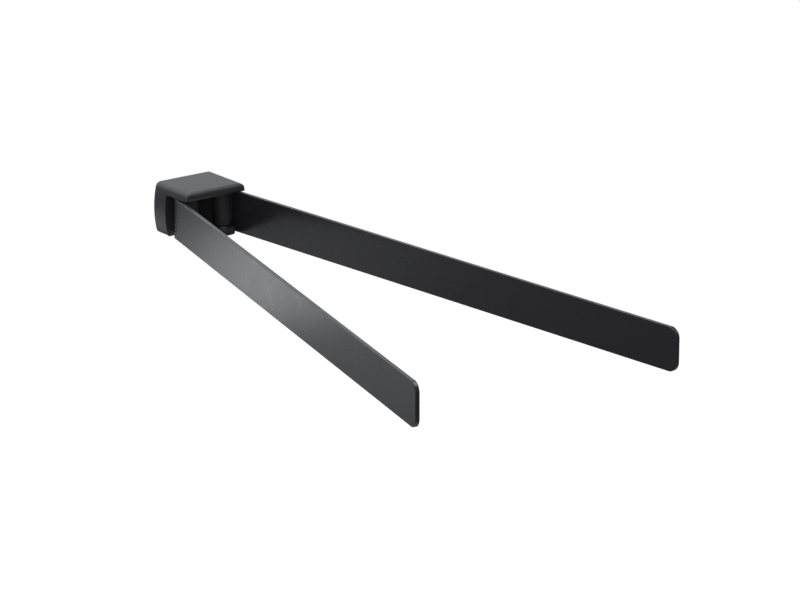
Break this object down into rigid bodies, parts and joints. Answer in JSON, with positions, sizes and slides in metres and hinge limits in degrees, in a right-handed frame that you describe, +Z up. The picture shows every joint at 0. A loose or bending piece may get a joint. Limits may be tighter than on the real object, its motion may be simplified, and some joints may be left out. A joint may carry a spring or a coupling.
{
  "type": "towel rack",
  "caption": "Wall-mounted swivel towel rack: flat bar arms on edge swing sideways on upright pins in a cast C-shaped bracket.",
  "frame": {"origin": "centre of the bracket's wall face, on the back of the concealed wall plate, in the plane of the wall", "axes": "+Z up, +Y into the wall, so the rack projects along -Y; +X is to the right for someone facing the wall"},
  "size_m": [0.2014, 0.4632, 0.0378],
  "materials": {
    "cast_coat": "satin black powder coat on a die casting",
    "bar_coat": "satin black powder coat on flat bar",
    "sleeve_coat": "satin black powder coat on tube",
    "blackened_steel": "black oxide",
    "washer_steel": "plain stainless",
    "nylon": "moulded black nylon",
    "zinc_plate": "bright zinc plated"
  },
  "bodies": {
    "bracket": {"bracket_body": "cast_coat", "wall_plate": "zinc_plate", "grub_screw": "blackened_steel", "left_pivot_pin": "blackened_steel", "right_pivot_pin": "blackened_steel", "left_upper_washer": "washer_steel", "left_lower_washer": "washer_steel", "right_upper_washer": "washer_steel", "right_lower_washer": "washer_steel"},
    "left_arm": {"left_arm_bar": "bar_coat", "left_hinge_sleeve": "sleeve_coat", "left_upper_bush": "nylon", "left_lower_bush": "nylon"},
    "right_arm": {"right_arm_bar": "bar_coat", "right_hinge_sleeve": "sleeve_coat", "right_upper_bush": "nylon", "right_lower_bush": "nylon"}
  },
  "joints": [
    {"name": "left_arm_swing", "type": "hinge", "parent": "bracket", "child": "left_arm", "pos_m": [-0.014, -0.026, 0], "axis": [0, 0, 1], "range_deg": [-70.3, 16.9]},
    {"name": "right_arm_swing", "type": "hinge", "parent": "bracket", "child": "right_arm", "pos_m": [0.014, -0.026, 0], "axis": [0, 0, 1], "range_deg": [-7.8, 79.4]}
  ]
}
